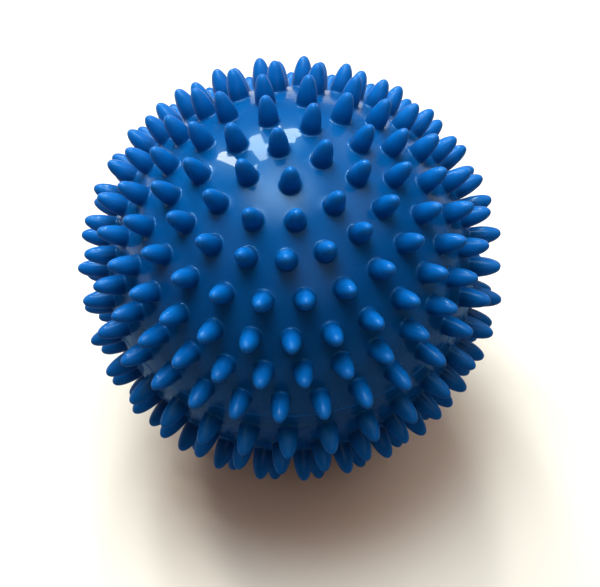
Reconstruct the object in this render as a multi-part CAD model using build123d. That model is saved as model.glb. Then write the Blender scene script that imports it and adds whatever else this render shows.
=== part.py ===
"""Spiky massage ball: a hollow air-filled ball of soft PVC with bullet-shaped spikes.

The ball is cast in two equal mould halves. Each half is a thin dome with rings of solid
spikes. The lower half is the same moulding turned over about the X axis. A thin bead of
material runs round the equator where the halves meet. The top pole carries a spike. The
bottom pole carries the air valve instead: a flanged insert held in a thick collar, and a
soft plug that is pulled out of it. The ball stands on the six spikes round the valve.

Units are millimetres. The origin is on the floor under the ball's centre, and +Z is up.
Each piece is first made about the ball's centre and then lifted to its resting height.
"""
import os
from math import cos, radians, sin, sqrt

from build123d import *

# Ball
BALL_R = 50.0          # centre to the end of a spike
WALL_R = 42.7          # centre to the outer face of the wall
WALL_T = 2.2           # wall thickness

# Spikes: a round tip, a slightly bulged side and a small flare at the foot
TIP_R = 1.45           # radius of the round tip
TIP_LEAN = 20.0        # angle of the side to the axis where it leaves the tip, degrees
FOOT_R = 2.4           # radius just above the flare
FLARE = 0.5            # height and width of the flare
ROOT_SINK = 0.1        # how far the foot goes below the wall's face at its rim

# Rings of spikes in one half: latitude, number of spikes, azimuth of the first one
RINGS = (
    (8.0, 30, 11.4),
    (19.5, 29, 10.7),
    (30.0, 26, 7.0),
    (41.8, 22, 0.7),
    (53.9, 18, 16.6),
    (65.0, 12, 24.8),
    (76.8, 6, 28.2),
)

# Seam bead round the equator: it fills a V groove and stands proud of the wall
SEAM_W = 0.7           # width of the groove at the wall's face
SEAM_DEPTH = 0.5       # depth of the groove
SEAM_PROUD = 0.2       # height of the bead above the wall

# Air valve, described as if it stood on the top pole
RECESS_R = 5.2         # shallow flat recess that takes the insert's flange
RECESS_Z = 42.0        # height of the recess floor above the ball's centre
COLLAR_R = 7.0         # thick collar inside the wall
COLLAR_Z = 36.6        # inner end of the collar
FLANGE_R = 5.0         # insert's outer flange
FLANGE_T = 0.6
NECK_R = 3.5           # insert's neck, in the collar's hole
HEEL_R = 4.6           # insert's inner flange, behind the collar
HEEL_T = 1.0
HEAD_R = 2.8           # plug's head, flush with the flange
HEAD_T = 0.6
STEM_R = 2.0
STEM_L = 8.4
STEM_CHAMFER = 0.5
FIT_GAP = 0.05         # radial gap round the plug's stem
HEAD_GAP = 0.15        # radial gap round the plug's head
NEEDLE_R = 0.8         # needle channel, blind
NEEDLE_DEPTH = 6.0
NEEDLE_LEAD_IN = 0.3

# The ball rests on the ring nearest the pole, because the valve takes the pole's spike
REST_LATITUDE = RINGS[-1][0]
REST_Z = (BALL_R - TIP_R) * sin(radians(REST_LATITUDE)) + TIP_R


def turned(outline):
    """Solid made by turning a closed outline, drawn as (radius, height), about Z."""
    return revolve(Plane.XZ * make_face(outline), Axis.Z, 360)


def on_circle(radius, angle):
    """Point at an angle above the X axis on a circle about the origin."""
    return (radius * cos(radians(angle)), radius * sin(radians(angle)))


def disc(radius, low, high):
    """Upright cylinder on the Z axis between two heights."""
    return Pos(0, 0, (low + high) / 2) * Cylinder(radius, high - low)


def dome():
    """Half of the wall, open at the equator, with half of the seam groove."""
    inner_r = WALL_R - WALL_T
    groove_bottom = (WALL_R - SEAM_DEPTH, 0)
    groove_edge = (sqrt(WALL_R**2 - (SEAM_W / 2) ** 2), SEAM_W / 2)
    outline = [
        Line((0, inner_r), (0, WALL_R)),
        ThreePointArc((0, WALL_R), on_circle(WALL_R, 45), groove_edge),
        Polyline(groove_edge, groove_bottom, (inner_r, 0)),
        ThreePointArc((inner_r, 0), on_circle(inner_r, 45), (0, inner_r)),
    ]
    return turned(outline)


def spike():
    """One spike on the top pole. Its foot disc is buried in the wall."""
    tip_z = BALL_R - TIP_R
    shoulder = (TIP_R * cos(radians(TIP_LEAN)), tip_z + TIP_R * sin(radians(TIP_LEAN)))
    half_way = (90 + TIP_LEAN) / 2
    crown = (TIP_R * cos(radians(half_way)), tip_z + TIP_R * sin(radians(half_way)))
    down_the_side = (sin(radians(TIP_LEAN)), -cos(radians(TIP_LEAN)))
    root_r = FOOT_R + FLARE + ROOT_SINK
    root_z = sqrt(WALL_R**2 - root_r**2) - ROOT_SINK
    foot = (FOOT_R, root_z + FLARE + ROOT_SINK)
    outline = [
        ThreePointArc((0, BALL_R), crown, shoulder),
        TangentArc(shoulder, foot, tangent=down_the_side),
        Polyline(foot, (root_r, root_z), (0, root_z), (0, BALL_R)),
    ]
    return turned(outline)


def ring_spikes():
    """Every spike of one half, apart from the one on the pole."""
    one = spike()
    return [
        Rot(Z=first + 360 / count * number) * Rot(Y=90 - latitude) * one
        for latitude, count, first in RINGS
        for number in range(count)
    ]


def half_ball():
    """Dome with its rings of spikes, as one casting with a bare pole."""
    return dome().fuse(*ring_spikes())


def upper_shell(half):
    """Half ball with a spike on its pole."""
    return half.fuse(spike())


def lower_shell(half):
    """Half ball with the valve's collar, hole and recess on its pole, turned over."""
    inner_z = sqrt((WALL_R - WALL_T) ** 2 - COLLAR_R**2)
    collar = disc(COLLAR_R, COLLAR_Z, inner_z + WALL_T / 2)
    recess = disc(RECESS_R, RECESS_Z, BALL_R)
    hole = disc(NECK_R, COLLAR_Z - HEEL_T, BALL_R)
    return Rot(X=180) * (half.fuse(collar).cut(recess, hole))


def seam_bead():
    """Thin ring that fills the groove at the equator and stands slightly proud."""
    bottom = (WALL_R - SEAM_DEPTH, 0)
    edge_r = sqrt(WALL_R**2 - (SEAM_W / 2) ** 2)
    upper_edge = (edge_r, SEAM_W / 2)
    lower_edge = (edge_r, -SEAM_W / 2)
    outline = [
        Polyline(lower_edge, bottom, upper_edge),
        ThreePointArc(upper_edge, (WALL_R + SEAM_PROUD, 0), lower_edge),
    ]
    return turned(outline)


def valve_insert():
    """Flanged sleeve that is held in the collar by a flange at each end."""
    flange = disc(FLANGE_R, RECESS_Z, RECESS_Z + FLANGE_T)
    neck = disc(NECK_R, COLLAR_Z - HEEL_T, RECESS_Z)
    heel = disc(HEEL_R, COLLAR_Z - HEEL_T, COLLAR_Z)
    channel = disc(STEM_R + FIT_GAP, COLLAR_Z - HEEL_T, BALL_R)
    head_seat = disc(HEAD_R + HEAD_GAP, RECESS_Z + FLANGE_T - HEAD_T, BALL_R)
    return Rot(X=180) * (flange + neck + heel - channel - head_seat)


def valve_plug():
    """Soft plug with a blind channel for an inflating needle."""
    top = RECESS_Z + FLANGE_T
    shoulder = top - HEAD_T
    end = shoulder - STEM_L
    outline = Polyline(
        (0, end),
        (STEM_R - STEM_CHAMFER, end),
        (STEM_R, end + STEM_CHAMFER),
        (STEM_R, shoulder),
        (HEAD_R, shoulder),
        (HEAD_R, top),
        (NEEDLE_R + NEEDLE_LEAD_IN, top),
        (NEEDLE_R, top - NEEDLE_LEAD_IN),
        (NEEDLE_R, top - NEEDLE_DEPTH),
        (0, top - NEEDLE_DEPTH),
        close=True,
    )
    return Rot(X=180) * turned(outline)


def main():
    """Write one file for each piece, with the ball at its resting height."""
    half = half_ball()
    pieces = {
        "upper_shell": upper_shell(half),
        "lower_shell": lower_shell(half),
        "seam_bead": seam_bead(),
        "valve_insert": valve_insert(),
        "valve_plug": valve_plug(),
    }
    os.makedirs("parts", exist_ok=True)
    for name, piece in pieces.items():
        export_step(Pos(0, 0, REST_Z) * piece, f"parts/{name}.step")


main()
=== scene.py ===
"""Looks of the spiky massage ball: soft blue PVC with a glossy wall and satin spikes.

The two mould halves are rebuilt as smooth closed skins, with each spike growing out of the
wall through a small fillet. The valve's sleeve and plug are turned pieces with rounded
edges, and the seam is a slightly uneven bead. Each piece is first made in millimetres about
the ball's centre. The lower half and the valve are drawn on top and then turned over.
"""
import random
from math import asin, cos, degrees, hypot, pi, radians, sin, sqrt, tan

import bpy
from mathutils import Matrix, Vector, noise
from mathutils.geometry import delaunay_2d_cdt


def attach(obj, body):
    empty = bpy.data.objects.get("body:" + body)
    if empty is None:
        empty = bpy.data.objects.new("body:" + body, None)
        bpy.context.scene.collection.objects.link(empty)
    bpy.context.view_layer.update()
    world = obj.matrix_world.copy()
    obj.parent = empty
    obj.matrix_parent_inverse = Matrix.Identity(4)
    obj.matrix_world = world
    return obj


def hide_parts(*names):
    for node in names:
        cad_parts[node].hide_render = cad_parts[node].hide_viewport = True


MM = 0.001

# Ball, in millimetres
BALL_R = 50.0
WALL_R = 42.7
WALL_T = 2.2
CENTRE_Z = 48.717          # height of the ball's centre above the floor

# Spikes
FOOT_R = 2.42              # radius at the foot, without the fillet
FULLNESS = 2.2             # 2 is an ellipse, and more is a blunter tip
FILLET = 0.45              # radius of the fillet at the foot
FILLET_STEPS = 5
SIDE_STEPS = 14            # steps from the fillet to the tip, closer together at the tip
RINGS = (                  # latitude, number of spikes, azimuth of the first one
    (8.0, 30, 11.4),
    (19.5, 29, 10.7),
    (30.0, 26, 7.0),
    (41.8, 22, 0.7),
    (53.9, 18, 16.6),
    (65.0, 12, 24.8),
    (76.8, 6, 28.2),
)
ROUND = 24                 # corners round one spike
BEND = 0.16                # how far a spike's tip may stray sideways
SHORT = 0.10               # how much shorter than the drawing a spike may be
SLIM = 0.97                # thickness of the slimmest spike
STANDING_LATITUDE = 76     # the spikes above it, round the valve, carry the ball

# Mesh of the wall
SPOT_AREA = 1.25           # outer wall's area for each point, in square millimetres
SPOT_RIM = 1.1             # least height of these points above the seam
SPOT_GAP = 0.5             # least distance from them to a spike's fillet
SPOT_VALVE = 6.2           # least distance from them to the valve's axis
INNER_STEPS = 16           # steps from the seam to the top of the inner wall
SHARP = 48                 # faces at a sharper angle than this meet in an edge, in degrees

# Seam
SEAM_HALF = 0.35           # half the width of its groove
SEAM_DEPTH = 0.5
SEAM_PROUD = 0.2
AROUND = 288               # corners round the rim of each half
BEAD_AROUND = 720          # corners round the seam bead

# Valve
RECESS_R = 5.2             # shallow recess for the sleeve's flange
RECESS_Z = 42.0
COLLAR_R = 7.0             # thick collar inside the wall
COLLAR_Z = 36.6
NECK_R = 3.5               # hole through the collar
EDGE = 0.15                # how far the collar's edges are broken
VALVE_ROUND = 48           # corners round the valve's pieces

# Patterns in the plastic: bumps per metre, and heights in metres
MOTTLE = 45.0
SMUDGE = 210.0
WAVE = 120.0
WAVE_HEIGHT = 0.00010
PEEL = 900.0
PEEL_HEIGHT = 0.000006
GRAIN = 5200.0

# Floor and lamps, in metres and degrees
FLOOR_R = 0.8
FLOOR_ROUND = 96
LAMP_DISTANCE = 1.5
SPREAD = 100               # how wide the soft lamps throw their light
WINDOW_AZ = 91.0           # direction of the window
SILL = 33                  # elevations of its lower and upper edge
LINTEL = 55
WARM_WHITE = (1.0, 0.98, 0.95)

# Camera, seen from the ball's centre
CAMERA_AZ = -101.62
CAMERA_EL = 51.18
CAMERA_DISTANCE = 0.72825  # metres
AIM = (0.57, -4.92, -3.71)  # point looked at, in millimetres from the ball's centre
ROLL = 5.48
LENS = 186.1


def placed(points, turn_over):
    """Points about the ball's centre, in metres above the floor, turned over if asked."""
    if turn_over:
        points = [Vector((p.x, -p.y, -p.z)) for p in points]
    return [(p + Vector((0, 0, CENTRE_Z))) * MM for p in points]


def piece(name, points, faces, turn_over, node, body, material):
    """Smooth mesh object that stands for a CAD node."""
    mesh = bpy.data.meshes.new(name)
    mesh.from_pydata(placed(points, turn_over), [], faces)
    mesh.materials.append(material)
    mesh.shade_smooth()
    mesh.set_sharp_from_angle(angle=radians(SHARP))
    thing = bpy.data.objects.new(name, mesh)
    bpy.context.scene.collection.objects.link(thing)
    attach(thing, body)
    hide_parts(node)
    return thing


def on_sphere(radius, latitude, azimuth):
    """Point on a sphere about the origin, angles in degrees."""
    lat = radians(latitude)
    az = radians(azimuth)
    return Vector((cos(lat) * cos(az), cos(lat) * sin(az), sin(lat))) * radius


def spike_profile():
    """Spike's outline as (radius, height above the ball's centre), from its fillet up.

    The first pair lies on the wall, and the last is on the axis. Above the fillet it is
    a blunt egg shape, a little fuller at the tip than an ellipse.
    """
    wall_z = sqrt(WALL_R**2 - FOOT_R**2)
    height = BALL_R - wall_z

    def side(drop):
        return FOOT_R * (1 - (1 - drop / height) ** 2) ** (1 / FULLNESS)

    top_of_fillet = side(height - FILLET)
    outline = []
    for step in range(FILLET_STEPS):
        turn = step / FILLET_STEPS * pi / 2
        r = top_of_fillet + FILLET * (1 - sin(turn))
        outline.append((r, sqrt(WALL_R**2 - r**2) + FILLET * (1 - cos(turn))))
    for step in range(SIDE_STEPS):
        drop = (height - FILLET) * (1 - step / SIDE_STEPS) ** 2
        outline.append((side(drop), BALL_R - drop))
    outline.append((0.0, BALL_R))
    return outline


def grow_spike(axis, outline, points, faces, chance, exact):
    """Adds one spike and returns the numbers of the points of its rim on the wall.

    It is as drawn if exact, and otherwise leans a little and is slightly short and slim.
    """
    across = axis.orthogonal().normalized()
    along = axis.cross(across)
    stray = BEND * sqrt(chance.random())
    way = chance.uniform(0, 2 * pi)
    shorter = 0.0 if exact else chance.uniform(0.3, 1.0) * SHORT
    slim = 1.0 if exact else chance.uniform(SLIM, 1.0)
    if exact:
        stray = 0.0
    bend = (across * cos(way) + along * sin(way)) * stray
    foot_z = outline[0][1]
    rims = []
    for row, (r, z) in enumerate(outline):
        rise = max(0.0, (z - foot_z) / (BALL_R - foot_z))
        middle = axis * (z - shorter * rise) + bend * rise**1.5
        if r == 0.0:
            points.append(middle)
            rims.append([len(points) - 1])
            continue
        width = r if row == 0 else r * (1 + (slim - 1) * min(1.0, row / 4))
        rim = []
        for corner in range(ROUND):
            angle = 2 * pi * corner / ROUND
            rim.append(len(points))
            points.append(middle + (across * cos(angle) + along * sin(angle)) * width)
        rims.append(rim)
    for low, high in zip(rims, rims[1:]):
        for corner in range(ROUND):
            after = (corner + 1) % ROUND
            if len(high) == 1:
                faces.append((low[corner], low[after], high[0]))
            else:
                faces.append((low[corner], low[after], high[after], high[corner]))
    return rims[0]


def turn_rows(outline, corners, points):
    """Rows of points made by turning (radius, height) pairs about Z."""
    rows = []
    for r, z in outline:
        if r < 1e-9:
            points.append(Vector((0, 0, z)))
            rows.append([len(points) - 1] * corners)
            continue
        row = []
        for corner in range(corners):
            angle = 2 * pi * corner / corners
            row.append(len(points))
            points.append(Vector((r * cos(angle), r * sin(angle), z)))
        rows.append(row)
    return rows


def join_rows(rows, faces):
    """Faces between neighbouring rows of points."""
    for low, high in zip(rows, rows[1:]):
        count = len(low)
        for corner in range(count):
            after = (corner + 1) % count
            face = [low[corner], low[after], high[after], high[corner]]
            face = [n for i, n in enumerate(face) if n not in face[:i]]
            faces.append(tuple(face))


def flat_map(point):
    """Stereographic map of a point on the upper half of the wall, seen from the lower pole."""
    reach = point.length + point.z
    return Vector((point.x / reach, point.y / reach))


def wall_between(loops, axes, clear_of_pole, points, faces):
    """Fills the wall between the given loops of points with even triangles."""
    spots = []
    count = int(2 * pi * WALL_R**2 / SPOT_AREA)
    for number in range(count):
        z = WALL_R * (number + 0.5) / count
        r = sqrt(WALL_R**2 - z**2)
        angle = number * pi * (3 - sqrt(5))
        spot = Vector((r * cos(angle), r * sin(angle), z))
        if z < SPOT_RIM or hypot(spot.x, spot.y) < clear_of_pole:
            continue
        unit = spot / WALL_R
        if max(unit.dot(a) for a in axes) > cos((FOOT_R + FILLET + SPOT_GAP) / WALL_R):
            continue
        spots.append(spot)
    first = len(points)
    points.extend(spots)
    used = [n for loop in loops for n in loop] + list(range(first, len(points)))
    loop_of = {n: i for i, loop in enumerate(loops) for n in loop}
    rank = {n: i for i, n in enumerate(used)}
    edges = []
    for loop in loops:
        for a, b in zip(loop, loop[1:] + loop[:1]):
            edges.append((rank[a], rank[b]))
    flat = [flat_map(points[n]) for n in used]
    result = delaunay_2d_cdt(flat, edges, [], 0, 1e-9, True)
    source = [used[ids[0]] for ids in result[3]]
    for triangle in result[2]:
        corners = [source[i] for i in triangle]
        owners = {loop_of.get(n) for n in corners}
        if len(owners) == 1 and None not in owners:
            continue
        faces.append(tuple(corners))


def half_skin(name, node, with_valve, material):
    """One mould half as a closed skin: spiked wall, rim with the seam groove, inner face."""
    chance = random.Random(41 if with_valve else 17)
    points = []
    faces = []
    outline = spike_profile()
    axes = []
    loops = []
    for latitude, count, first in RINGS:
        for number in range(count):
            axes.append(on_sphere(1.0, latitude, first + 360 * number / count))
    if not with_valve:
        axes.append(Vector((0, 0, 1)))
    for axis in axes:
        stands = with_valve and axis.z > sin(radians(STANDING_LATITUDE))
        loops.append(grow_spike(axis, outline, points, faces, chance, stands))

    inner_r = WALL_R - WALL_T
    groove_r = sqrt(WALL_R**2 - SEAM_HALF**2)
    inside = [(groove_r, SEAM_HALF), (WALL_R - SEAM_DEPTH, 0.0), (inner_r, 0.0)]
    if with_valve:
        collar_top = sqrt(inner_r**2 - COLLAR_R**2)
        last = degrees(asin(collar_top / inner_r))
    else:
        last = 90.0
    for step in range(1, INNER_STEPS + 1):
        angle = radians(last * step / INNER_STEPS)
        at_pole = step == INNER_STEPS and not with_valve
        inside.append((0.0 if at_pole else inner_r * cos(angle), inner_r * sin(angle)))
    if with_valve:
        inside += [
            (COLLAR_R, COLLAR_Z + 0.3),
            (COLLAR_R - 0.3, COLLAR_Z),
            (NECK_R + EDGE, COLLAR_Z),
            (NECK_R, COLLAR_Z + EDGE),
            (NECK_R, RECESS_Z - EDGE),
            (NECK_R + EDGE, RECESS_Z),
            (RECESS_R - EDGE, RECESS_Z),
            (RECESS_R, RECESS_Z + 0.12),
            (RECESS_R + 0.12, sqrt(WALL_R**2 - (RECESS_R + 0.12) ** 2)),
        ]
    rows = turn_rows(inside, AROUND, points)
    join_rows(rows[::-1], faces)
    loops.append(rows[0])
    if with_valve:
        loops.append(rows[-1])
    wall_between(loops, axes, SPOT_VALVE if with_valve else 0.0, points, faces)
    return piece(name, points, faces, with_valve, node, "ball", material)


def turned_piece(name, node, outline, body, material):
    """Closed piece turned about Z from an outline that has its material on the left."""
    points = []
    faces = []
    rows = turn_rows(outline, VALVE_ROUND, points)
    join_rows(rows + rows[:1], faces)
    return piece(name, points, faces, True, node, body, material)


def valve_sleeve(material):
    """Flanged sleeve with rounded edges, held in the collar."""
    outline = [
        (2.20, 35.60), (4.45, 35.60), (4.60, 35.75), (4.60, 36.60), (3.50, 36.60),
        (3.50, 42.00), (4.92, 42.00), (5.00, 42.08), (5.00, 42.42), (4.95, 42.53),
        (4.82, 42.60), (3.55, 42.60), (3.47, 42.55), (3.40, 42.53), (3.33, 42.55),
        (3.25, 42.60), (3.05, 42.60), (2.98, 42.57), (2.95, 42.50), (2.95, 42.00),
        (2.05, 42.00), (2.05, 35.75),
    ]
    return turned_piece("valve_sleeve", "valve_insert", outline, "ball", material)


def valve_stopper(material):
    """Soft plug with a blind needle channel and rounded edges."""
    outline = [
        (0.00, 33.60), (1.45, 33.60), (1.70, 33.68), (1.90, 33.88), (2.00, 34.15),
        (2.00, 42.00), (2.72, 42.00), (2.80, 42.06), (2.80, 42.44), (2.76, 42.54),
        (2.66, 42.60), (1.16, 42.60), (1.02, 42.57), (0.90, 42.47), (0.82, 42.34),
        (0.80, 42.20), (0.80, 36.80), (0.60, 36.62), (0.00, 36.60),
    ]
    return turned_piece("valve_stopper", "valve_plug", outline, "plug", material)


def seam_ridge(material):
    """Thin uneven bead along the equator: it fills the groove and stands slightly proud."""
    edge_r = sqrt(WALL_R**2 - SEAM_HALF**2)
    points = []
    rows = [[] for _ in range(7)]
    for corner in range(BEAD_AROUND):
        angle = 2 * pi * corner / BEAD_AROUND
        ring = Vector((cos(angle), sin(angle), 0))
        sway = 0.14 * noise.noise(ring * 9) + 0.05 * noise.noise(ring * 40)
        proud = SEAM_PROUD * (0.72 + 0.28 * noise.noise(ring * 14 + Vector((0, 0, 5))))
        section = [
            (edge_r, -SEAM_HALF),
            (WALL_R + 0.25 * proud, sway - 0.17),
            (WALL_R + 0.85 * proud, sway - 0.08),
            (WALL_R + 0.85 * proud, sway + 0.08),
            (WALL_R + 0.25 * proud, sway + 0.17),
            (edge_r, SEAM_HALF),
            (WALL_R - SEAM_DEPTH, 0.0),
        ]
        for row, (r, z) in zip(rows, section):
            row.append(len(points))
            points.append(ring * r + Vector((0, 0, z)))
    faces = []
    join_rows(rows + rows[:1], faces)
    return piece("seam_ridge", points, faces, False, "seam_bead", "ball", material)


class Nodes:
    """Short way to build a node tree."""

    def __init__(self, tree):
        self.tree = tree
        tree.nodes.clear()

    def add(self, kind, inputs=(), **settings):
        """New node; inputs are (socket, value or output socket) pairs."""
        made = self.tree.nodes.new(kind)
        for key, value in settings.items():
            setattr(made, key, value)
        for socket, value in inputs:
            if isinstance(value, bpy.types.NodeSocket):
                self.tree.links.new(value, made.inputs[socket])
            else:
                made.inputs[socket].default_value = value
        return made

    def math(self, operation, a, b=0.0):
        """Result of a sum on two numbers or sockets."""
        return self.add("ShaderNodeMath", [(0, a), (1, b)], operation=operation).outputs[0]

    def ramp(self, value, low, high, to_low=0.0, to_high=1.0, smooth=True):
        """Value mapped from one range to another, and held at the ends."""
        pairs = [("Value", value), ("From Min", low), ("From Max", high),
                 ("To Min", to_low), ("To Max", to_high)]
        kind = "SMOOTHSTEP" if smooth else "LINEAR"
        return self.add("ShaderNodeMapRange", pairs, interpolation_type=kind).outputs[0]

    def mix(self, factor, first, second):
        """Colour between two colours."""
        made = self.add("ShaderNodeMix", [(0, factor), (6, first), (7, second)], data_type="RGBA")
        return made.outputs[2]

    def noise(self, place, scale, detail=2.0):
        """Value of a noise pattern; scale is in bumps per metre."""
        pairs = [("Vector", place), ("Scale", scale), ("Detail", detail)]
        return self.add("ShaderNodeTexNoise", pairs).outputs[0]


def plastic(name, wall, spike, deep, satin, grain, gloss_wall, gloss_spike):
    """Moulded PVC: colours of the wall and the spikes, and a deep tone for its patches and for the
    painted shade at the spikes' feet.

    satin is the roughness of a broad sheen, which lies under a thin sharp gloss. grain is
    the height in millimetres of the fine texture on the spikes.
    """
    material = bpy.data.materials.new(name)
    material.use_nodes = True
    n = Nodes(material.node_tree)
    place = n.add("ShaderNodeTexCoord").outputs["Object"]
    centre = (0.0, 0.0, CENTRE_Z * MM)
    from_centre = n.add("ShaderNodeVectorMath", [(0, place), (1, centre)], operation="SUBTRACT")
    radius = n.add("ShaderNodeVectorMath", [(0, from_centre.outputs[0])], operation="LENGTH")
    radius = radius.outputs["Value"]
    on_spike = n.ramp(radius, (WALL_R + 0.03) * MM, (WALL_R + 0.8) * MM)
    on_tip = n.ramp(radius, (BALL_R - 2.6) * MM, BALL_R * MM)

    mottle = n.ramp(n.noise(place, MOTTLE, 3.0), 0.3, 0.7)
    smudge = n.ramp(n.noise(place, SMUDGE, 4.0), 0.35, 0.75)

    # Painted shade: darker at the foot of a spike, where shadow falls between the spikes; paler
    # where the tip is worn
    colour = n.mix(on_spike, wall, spike)
    # Painted shade at each spike's foot, blended towards a darkened deep tone
    foot = n.ramp(radius, (WALL_R + 0.4) * MM, (WALL_R + 4.4) * MM, 0.62, 0.0)
    painted_foot_shade = tuple(c * 0.3 for c in deep[:3]) + (1.0,)
    colour = n.mix(n.math("MULTIPLY", foot, on_spike), colour, painted_foot_shade)
    colour = n.mix(n.math("MULTIPLY", mottle, 0.22), colour, deep)
    worn = tuple(c * 1.02 + 0.008 for c in spike[:3]) + (1.0,)
    colour = n.mix(n.math("MULTIPLY", on_tip, 0.4), colour, worn)

    rough = n.math("ADD", n.math("MULTIPLY", smudge, 0.06), satin)
    rough = n.math("ADD", rough, n.math("MULTIPLY", on_spike, 0.12))
    gloss = n.ramp(on_spike, 0.0, 1.0, gloss_wall, gloss_spike, smooth=False)

    waves = n.noise(place, WAVE, 1.0)
    peel = n.noise(place, PEEL, 2.0)
    fine = n.noise(place, GRAIN, 2.0)
    height = n.math("MULTIPLY", waves, WAVE_HEIGHT)
    height = n.math("ADD", height, n.math("MULTIPLY", peel, PEEL_HEIGHT))
    fine = n.math("MULTIPLY", n.math("MULTIPLY", fine, on_spike), grain * MM)
    height = n.math("ADD", height, fine)
    bump = n.add("ShaderNodeBump", [("Strength", 1.0), ("Distance", 1.0), ("Height", height)])

    shader = n.add("ShaderNodeBsdfPrincipled", [
        ("Base Color", colour),
        ("Roughness", rough),
        ("IOR", 1.47),
        ("Specular IOR Level", 0.18),
        ("Specular Tint", (0.15, 0.62, 1.0, 1.0)),
        ("Normal", bump.outputs[0]),
        ("Coat Weight", gloss),
        ("Coat Roughness", 0.045),
    ])
    n.add("ShaderNodeOutputMaterial", [("Surface", shader.outputs[0])])
    return material


def paper(name, colour):
    """Matt pale table top with a faint tooth.

    It throws little light back, and least from its near side, so the ball's underside stays dark:
    for light that the camera does not see directly, its colour is dimmed towards a dark blue, a
    painted shade on the floor.
    """
    material = bpy.data.materials.new(name)
    material.use_nodes = True
    n = Nodes(material.node_tree)
    place = n.add("ShaderNodeTexCoord").outputs["Object"]
    height = n.math("MULTIPLY", n.noise(place, 1500.0, 3.0), 0.00002)
    bump = n.add("ShaderNodeBump", [("Distance", 1.0), ("Height", height)])
    # Painted shade on the floor: rays other than the camera's find it darker and bluer, most on
    # its near side
    seen = n.add("ShaderNodeLightPath").outputs["Is Camera Ray"]
    y = n.add("ShaderNodeSeparateXYZ", [(0, place)]).outputs["Y"]
    loss = n.ramp(y, 0.03, 0.14, 0.88, 0.25)
    unseen = n.math("SUBTRACT", 1.0, seen)
    dim = n.math("MULTIPLY", unseen, loss)
    colour = n.mix(dim, colour, (0.04, 0.12, 0.20, 1.0))
    shader = n.add("ShaderNodeBsdfPrincipled", [
        ("Base Color", colour),
        ("Roughness", 0.75),
        ("Specular IOR Level", 0.2),
        ("Normal", bump.outputs[0]),
    ])
    n.add("ShaderNodeOutputMaterial", [("Surface", shader.outputs[0])])
    return material


def floor():
    """Round pale floor at the foot of the ball, as wide as the lamps light it evenly."""
    points = []
    rows = turn_rows([(FLOOR_R, 0.0), (0.0, 0.0)], FLOOR_ROUND, points)
    faces = []
    join_rows(rows, faces)
    mesh = bpy.data.meshes.new("floor")
    mesh.from_pydata(points, [], faces)
    mesh.materials.append(paper("pale_floor", (0.98, 0.812, 0.68, 1.0)))
    thing = bpy.data.objects.new("floor", mesh)
    bpy.context.scene.collection.objects.link(thing)


def towards(azimuth, elevation):
    """Direction from the ball's centre, angles in degrees."""
    return on_sphere(1.0, elevation, azimuth)


def window_pane(name, azimuth, width, radiance, tint):
    """One upright pane of a tall window behind the ball."""
    sill = LAMP_DISTANCE * tan(radians(SILL))
    top = LAMP_DISTANCE * tan(radians(LINTEL))
    facing = towards(WINDOW_AZ, 0)
    aside = tan(radians(azimuth - WINDOW_AZ)) * LAMP_DISTANCE
    sideways = Vector((-facing.y, facing.x, 0))
    light = bpy.data.lights.new(name, "AREA")
    light.shape = "RECTANGLE"
    light.size = 2 * LAMP_DISTANCE * tan(radians(width / 2))
    light.size_y = top - sill
    light.energy = radiance * pi * light.size * light.size_y
    light.color = tint
    thing = bpy.data.objects.new(name, light)
    thing.location = facing * LAMP_DISTANCE + sideways * aside
    thing.location.z = CENTRE_Z * MM + (sill + top) / 2
    thing.rotation_euler = (-facing).to_track_quat("-Z", "Y").to_euler()
    bpy.context.scene.collection.objects.link(thing)


def softbox(name, azimuth, elevation, half_angle, strength, tint):
    """Round lamp that faces the ball and fades out towards its edge."""
    facing = towards(azimuth, elevation)
    light = bpy.data.lights.new(name, "AREA")
    light.shape = "DISK"
    light.size = 2 * LAMP_DISTANCE * tan(radians(half_angle))
    light.energy = strength * (pi * light.size / 2) ** 2
    light.spread = radians(SPREAD)
    light.color = tint
    light.use_nodes = True
    n = Nodes(light.node_tree)
    place = n.add("ShaderNodeNewGeometry").outputs["Parametric"]
    middle = n.add("ShaderNodeVectorMath", [(0, place), (1, (0.5, 0.5, 0.0))],
                   operation="DISTANCE").outputs["Value"]
    glow = n.add("ShaderNodeEmission", [("Strength", n.ramp(middle, 0.08, 0.5, 2.2, 0.0))])
    n.add("ShaderNodeOutputLight", [("Surface", glow.outputs[0])])
    thing = bpy.data.objects.new(name, light)
    thing.location = Vector((0, 0, CENTRE_Z * MM)) + facing * LAMP_DISTANCE
    thing.rotation_euler = (-facing).to_track_quat("-Z", "Y").to_euler()
    bpy.context.scene.collection.objects.link(thing)


def room():
    """Dim warm light from all round, and a white backdrop where the camera sees past the floor."""
    world = bpy.data.worlds.new("room")
    world.use_nodes = True
    bpy.context.scene.world = world
    n = Nodes(world.node_tree)
    seen = n.add("ShaderNodeLightPath").outputs["Is Camera Ray"]
    colour = n.mix(seen, (0.080, 0.036, 0.008, 1.0), (1.0, 0.99, 0.98, 1.0))
    back = n.add("ShaderNodeBackground", [("Color", colour), ("Strength", 1.0)])
    n.add("ShaderNodeOutputWorld", [("Surface", back.outputs[0])])


def camera():
    """Long lens from above the near side, aimed a little below the ball's centre."""
    centre = Vector((0, 0, CENTRE_Z)) * MM
    place = centre + towards(CAMERA_AZ, CAMERA_EL) * CAMERA_DISTANCE
    aim = centre + Vector(AIM) * MM
    forward = (aim - place).normalized()
    right = forward.cross(Vector((0, 0, 1))).normalized()
    up = right.cross(forward)
    roll = radians(ROLL)
    level_right = right * cos(roll) - up * sin(roll)
    level_up = up * cos(roll) + right * sin(roll)
    data = bpy.data.cameras.new("camera")
    data.sensor_width = 36.0
    data.lens = LENS
    data.clip_start = 0.01
    thing = bpy.data.objects.new("camera", data)
    turn = Matrix((level_right, level_up, -forward)).transposed().to_4x4()
    thing.matrix_world = Matrix.Translation(place) @ turn
    bpy.context.scene.collection.objects.link(thing)
    bpy.context.scene.camera = thing


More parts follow.
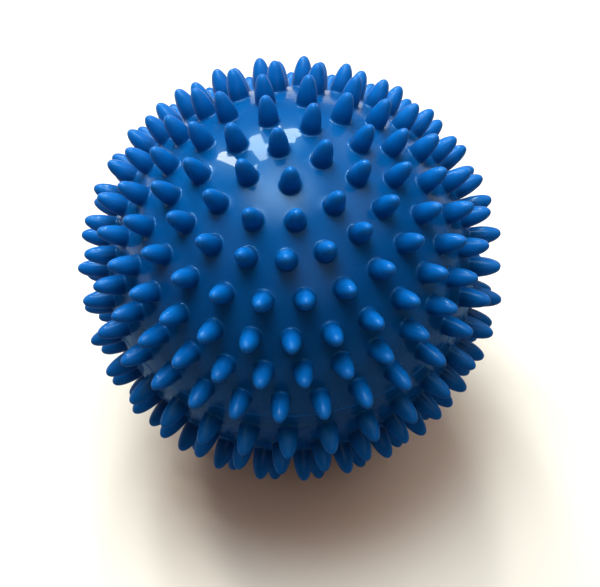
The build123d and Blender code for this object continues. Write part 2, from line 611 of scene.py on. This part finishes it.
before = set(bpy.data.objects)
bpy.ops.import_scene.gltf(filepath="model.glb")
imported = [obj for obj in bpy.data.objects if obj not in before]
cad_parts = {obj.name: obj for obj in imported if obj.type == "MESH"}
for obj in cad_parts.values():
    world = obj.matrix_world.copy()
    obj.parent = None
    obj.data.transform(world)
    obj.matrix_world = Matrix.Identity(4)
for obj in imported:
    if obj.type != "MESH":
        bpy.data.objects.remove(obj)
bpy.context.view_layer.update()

SHELL = plastic(
    "blue_pvc", wall=(0.0005, 0.080, 0.264, 1.0), spike=(0.001, 0.132, 0.455, 1.0),
    deep=(0.0, 0.06, 0.24, 1.0), satin=0.27, grain=0.004, gloss_wall=0.29, gloss_spike=0.22)
SEAM = plastic(
    "seam_pvc", wall=(0.003, 0.13, 0.42, 1.0), spike=(0.003, 0.13, 0.42, 1.0),
    deep=(0.0, 0.08, 0.30, 1.0), satin=0.30, grain=0.003, gloss_wall=0.4, gloss_spike=0.4)
SLEEVE = plastic(
    "valve_pvc", wall=(0.001, 0.09, 0.38, 1.0), spike=(0.001, 0.09, 0.38, 1.0),
    deep=(0.0, 0.06, 0.28, 1.0), satin=0.38, grain=0.003, gloss_wall=0.2, gloss_spike=0.2)
STOPPER = plastic(
    "plug_rubber", wall=(0.012, 0.02, 0.045, 1.0), spike=(0.012, 0.02, 0.045, 1.0),
    deep=(0.004, 0.008, 0.02, 1.0), satin=0.48, grain=0.004, gloss_wall=0.05,
    gloss_spike=0.05)

half_skin("upper_skin", "upper_shell", False, SHELL)
half_skin("lower_skin", "lower_shell", True, SHELL)
seam_ridge(SEAM)
valve_sleeve(SLEEVE)
valve_stopper(STOPPER)

floor()
window_pane("window_left", 110.7, 6.0, 38.0, (0.97, 1.0, 0.96))
window_pane("window_middle", 91.4, 9.2, 26.0, (0.80, 0.98, 1.0))
window_pane("window_right", 71.5, 8.0, 30.0, (0.82, 0.98, 0.97))
softbox("ceiling", 122, 76, 10, 0.20, (0.45, 0.80, 1.0))
softbox("overhead", 90, 79, 29, 1.42, (0.68, 0.89, 1.0))
softbox("high_left", 180, 50, 32, 0.06, WARM_WHITE)
softbox("high_right", 0, 50, 32, 0.17, WARM_WHITE)
softbox("near", 280, 50, 34, 0.10, (1.0, 0.90, 0.80))
softbox("back_right", 40, 30, 22, 0.20, WARM_WHITE)
softbox("low_left", 170, 12, 16, 0.05, WARM_WHITE)
room()
camera()
bpy.context.scene.view_settings.view_transform = "Standard"
